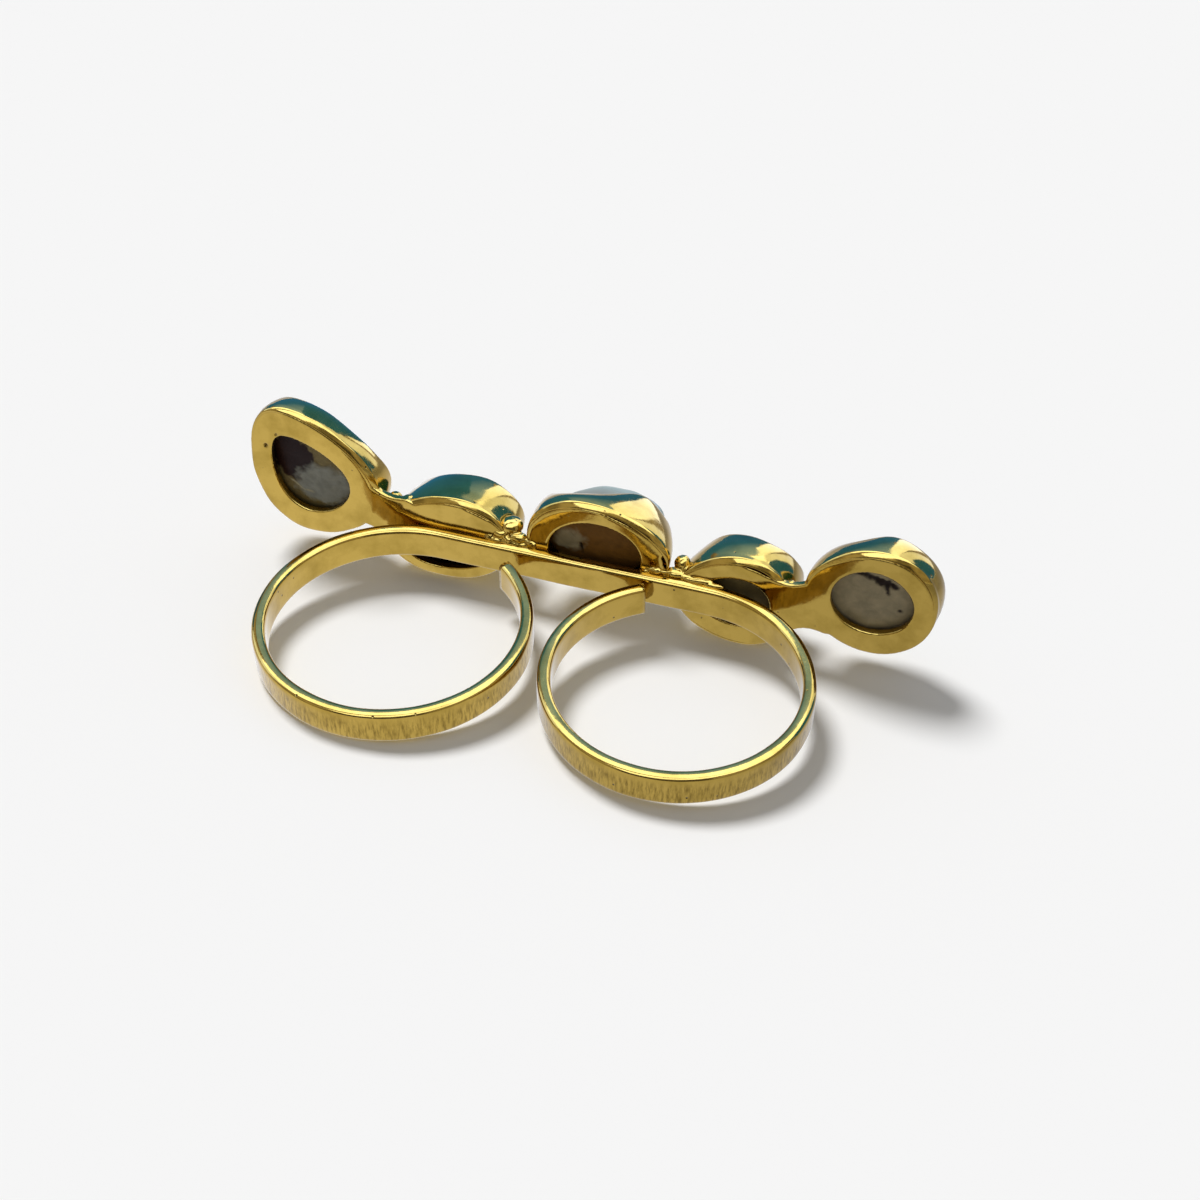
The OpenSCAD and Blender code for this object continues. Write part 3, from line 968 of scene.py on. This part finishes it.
def pearl_spot(i, v, q):
    """Point of pearl i at latitude v and angle q, inside its wall all round."""
    s = sizes()
    egg, wall, row = PLATE_EGGS[i], WALLS[i], PEARLS[i]
    foot, gap, high_rim = wall_foot(), s["pearl_gap"], max(RIMS[i])
    low = foot + gap / 2
    girth = low + GIRTH_AT * high_rim
    high = foot + high_rim + row.rise
    share = max(0.0, math.cos(v)) ** SIDE_POWER
    back = v < 0
    y = girth - (girth - low) * (-math.sin(v)) ** BACK_POWER if back else girth + (high - girth) * math.sin(v)
    depth = max(0.0, y - foot)
    lean = min(1.0, depth / high_rim)
    side = wall_spot(i, min(1.0, depth / round_curve(RIMS[i], q)), s["wall_t"] + gap, 0.0, q)
    middle = Vector((egg.x + wall.dx * lean, 0, egg.z + wall.dz * lean))
    crown = Vector((0.0 if back else row.crown * math.sin(v) ** 2, 0, 0))
    lump = 1 - row.depth * (0.5 - 0.5 * math.cos(row.number * (q - math.radians(row.at) + v / 2)))
    spot = middle + crown + (Vector((side.x, 0, side.z)) - middle) * share * lump
    return Vector((spot.x, y, spot.z))


def mark_share(mark, x, z):
    """How far the place x, z lies in a mark whose border is ragged: 0 outside and 1 inside."""
    t = math.radians(mark.turn)
    dx, dz = x - mark.x, z - mark.z
    along = (dx * math.cos(t) + dz * math.sin(t)) / mark.a
    across = (dz * math.cos(t) - dx * math.sin(t)) / mark.b
    off = math.hypot(along, across)
    narrow = min(mark.a, mark.b)
    coarse, fine = 0.6, 0.22
    ragged = min(1.0, narrow / coarse) * (
        0.4 * noise.noise(Vector((x, z, mark.x)) / coarse)
        + 0.2 * noise.noise(Vector((x, z, mark.z)) / fine))
    return min(1.0, max(0.0, 0.5 + ((1 - off) * narrow + ragged) / min(mark.soft, narrow)))


class PEARLRING_OT_pearls(Operator):
    """Pearls: five baroque pearls, each filling its setting and swelling out over the rim"""

    bl_idname = "pearl_ring.pearls"
    bl_label = "Pearls"

    def execute(self, context):
        colours = context.scene.ring_colours
        steps = context.scene.ring_meshing.pearl_steps
        # The brown nacre colour also serves as painted shade in the first pearl's marks
        backs = (colours.nacre_olive, colours.nacre_brown, colours.nacre_beige, colours.nacre_olive,
                 colours.nacre_grey)
        for i, row in enumerate(PEARLS):
            clear()
            bpy.ops.mesh.primitive_uv_sphere_add(segments=steps, ring_count=steps // 2, radius=1)
            pearl = named("nacre_pearl_%d" % (i + 1))
            marks = [mark for mark in MARKS if mark.pearl == i]
            front = pearl.data.attributes.new("front", "FLOAT", "POINT")
            grown = pearl.data.attributes.new("grown", "FLOAT_COLOR", "POINT")
            for v, pale, tone in zip(pearl.data.vertices, front.data, grown.data):
                latitude = math.asin(max(-1.0, min(1.0, v.co.z)))
                turn = math.atan2(v.co.y, v.co.x)
                if latitude < 0:
                    # Even steps over the back, where the marks are
                    latitude = -math.acos((1 + latitude / (math.pi / 2)) ** (1 / SIDE_POWER))
                v.co = pearl_spot(i, latitude, turn)
                shade = Vector(backs[i][:3])
                if latitude < 0:
                    for mark in marks:
                        share = mark_share(mark, v.co.x, v.co.z)
                        shade = shade.lerp(Vector(getattr(colours, mark.colour)[:3]), share)
                        v.co.y -= mark.rise * share * (1 + 0.5 * noise.noise(v.co / 0.6))
                pale.value = min(1.0, max(0.0, latitude + 0.2))
                tone.color = (*shade, 1)
            bpy.ops.object.mode_set(mode="EDIT")
            outward()
            hammered(pearl, 1.4, 0.1, i + 31)
            pearl.data.materials.append(nacre("nacre_pearl_%d" % (i + 1)))
            finished(pearl, row.slot, "pearl_%d" % (i + 1))
        return {"FINISHED"}


def toward(azimuth, elevation, distance):
    """Point at a distance from the ring. Azimuth 0 is in front of it and 90 to its right."""
    a, e = math.radians(azimuth), math.radians(elevation)
    return Vector((math.sin(a) * math.cos(e), -math.cos(a) * math.cos(e), math.sin(e))) * distance


def only_mirrored(piece, material):
    """Makes a glowing piece of the stage that shows only in reflections."""
    piece.data.materials.append(material)
    piece.visible_camera = False
    piece.visible_diffuse = False
    piece.visible_shadow = False


def put_card(row):
    """A glowing card that faces the ring."""
    clear()
    bpy.ops.mesh.primitive_plane_add(size=1)
    piece = named(row.name)
    place = toward(row.azimuth, row.elevation, row.far)
    turned = place.to_track_quat("Z", "Y").to_matrix().to_4x4()
    piece.data.transform(Matrix.Translation(place) @ turned @ Matrix.Diagonal((row.wide, row.high, 1, 1)))
    colours = bpy.context.scene.ring_colours
    half = row.high / 2 * math.cos(math.radians(row.elevation))
    reach = (place.z - half, place.z + half)
    only_mirrored(
        piece, glow(row.name, getattr(colours, row.low), getattr(colours, row.top), reach, row.strength))


def put_floor():
    """The paper that the ring lies on."""
    clear()
    bpy.ops.mesh.primitive_plane_add(size=6, location=(0, 0, 0))
    floor = named("paper_floor")
    floor.data.materials.append(paper())


def put_daylight(scene):
    """Grey light from all round, and a soft sun from behind on the left. The metal mirrors
    the room and the cards instead of them."""
    grey = 0.34
    world = bpy.data.worlds.new("studio")
    world.use_nodes = True
    world.node_tree.nodes["Background"].inputs["Color"].default_value = (grey, grey, grey, 1)
    world.node_tree.nodes["Background"].inputs["Strength"].default_value = 1.0
    scene.world = world
    key_light = bpy.data.lights.new("key", "SUN")
    key_light.energy = 2.53
    key_light.angle = math.radians(20)
    key_lamp = bpy.data.objects.new("key", key_light)
    key_lamp.rotation_euler = (-toward(-118, 60, 1)).to_track_quat("-Z", "Y").to_euler()
    key_lamp.visible_glossy = False
    scene.collection.objects.link(key_lamp)


def put_room():
    """The dome of the room, and the light of the table just over the paper."""
    clear()
    bpy.ops.mesh.primitive_uv_sphere_add(segments=48, ring_count=24, radius=1.2)
    only_mirrored(named("room"), room_light("room", 0.62))
    clear()
    bpy.ops.mesh.primitive_circle_add(vertices=48, radius=0.3, fill_type="NGON", location=(0, 0, 2e-5))
    bpy.ops.object.transform_apply(location=True, rotation=False, scale=False)
    only_mirrored(named("bright_table"), table_light("bright_table"))


def put_camera(scene):
    """The camera at the photograph's angle: what it looks at, the way back to it and how far
    off it is in millimetres, and how far it is rolled."""
    aim = Vector((2.201, 4.102, 3.464)) * MM
    back_way = toward(14.212, 36.293, 1)
    distance = 117.202 * MM
    roll = Matrix.Rotation(math.radians(4.367), 4, "Z")
    camera = bpy.data.objects.new("camera", bpy.data.cameras.new("camera"))
    scene.collection.objects.link(camera)
    camera.location = aim + back_way * distance
    camera.rotation_euler = ((-back_way).to_track_quat("-Z", "Y").to_matrix().to_4x4() @ roll).to_euler()
    camera.data.lens = 50.226
    camera.data.clip_start = 0.005
    camera.data.clip_end = 20
    scene.camera = camera


class PEARLRING_OT_stage(Operator):
    """Stage: pale paper floor, one key light, glowing cards and the camera at the photograph's angle"""

    bl_idname = "pearl_ring.stage"
    bl_label = "Stage"

    def execute(self, context):
        put_floor()
        put_daylight(context.scene)
        for row in CARDS:
            put_card(row)
        put_room()
        put_camera(context.scene)
        context.scene.view_settings.view_transform = "Standard"
        return {"FINISHED"}


class VIEW3D_PT_pearl_ring(Panel):
    """The ring's sizes, colours and build steps"""

    bl_label = "Pearl ring"
    bl_space_type = "VIEW_3D"
    bl_region_type = "UI"
    bl_category = "Pearl ring"

    def draw(self, context):
        for group in (context.scene.ring_sizes, context.scene.ring_colours, context.scene.ring_meshing):
            box = self.layout.box()
            for name in type(group).__annotations__:
                box.prop(group, name)
        for step in STEPS:
            self.layout.operator(step.bl_idname)


GROUPS = {"ring_sizes": RingSizes, "ring_colours": RingColours, "ring_meshing": RingMeshing}
STEPS = (
    PEARLRING_OT_band,
    PEARLRING_OT_plates,
    PEARLRING_OT_walls,
    PEARLRING_OT_granules,
    PEARLRING_OT_pearls,
    PEARLRING_OT_stage,
)


def register():
    """Registers the classes and gives every scene its groups of values."""
    for name, group in GROUPS.items():
        bpy.utils.register_class(group)
        setattr(bpy.types.Scene, name, PointerProperty(type=group))
    for step in STEPS:
        bpy.utils.register_class(step)
    bpy.utils.register_class(VIEW3D_PT_pearl_ring)


def unregister():
    """Takes the classes and the groups out again."""
    bpy.utils.unregister_class(VIEW3D_PT_pearl_ring)
    for step in reversed(STEPS):
        bpy.utils.unregister_class(step)
    for name, group in GROUPS.items():
        delattr(bpy.types.Scene, name)
        bpy.utils.unregister_class(group)


def main():
    """Builds the ring and its stage."""
    register()
    bpy.ops.pearl_ring.band()
    bpy.ops.pearl_ring.plates()
    bpy.ops.pearl_ring.walls()
    bpy.ops.pearl_ring.granules()
    bpy.ops.pearl_ring.pearls()
    bpy.ops.pearl_ring.stage()


if __name__ == "__main__":
    main()
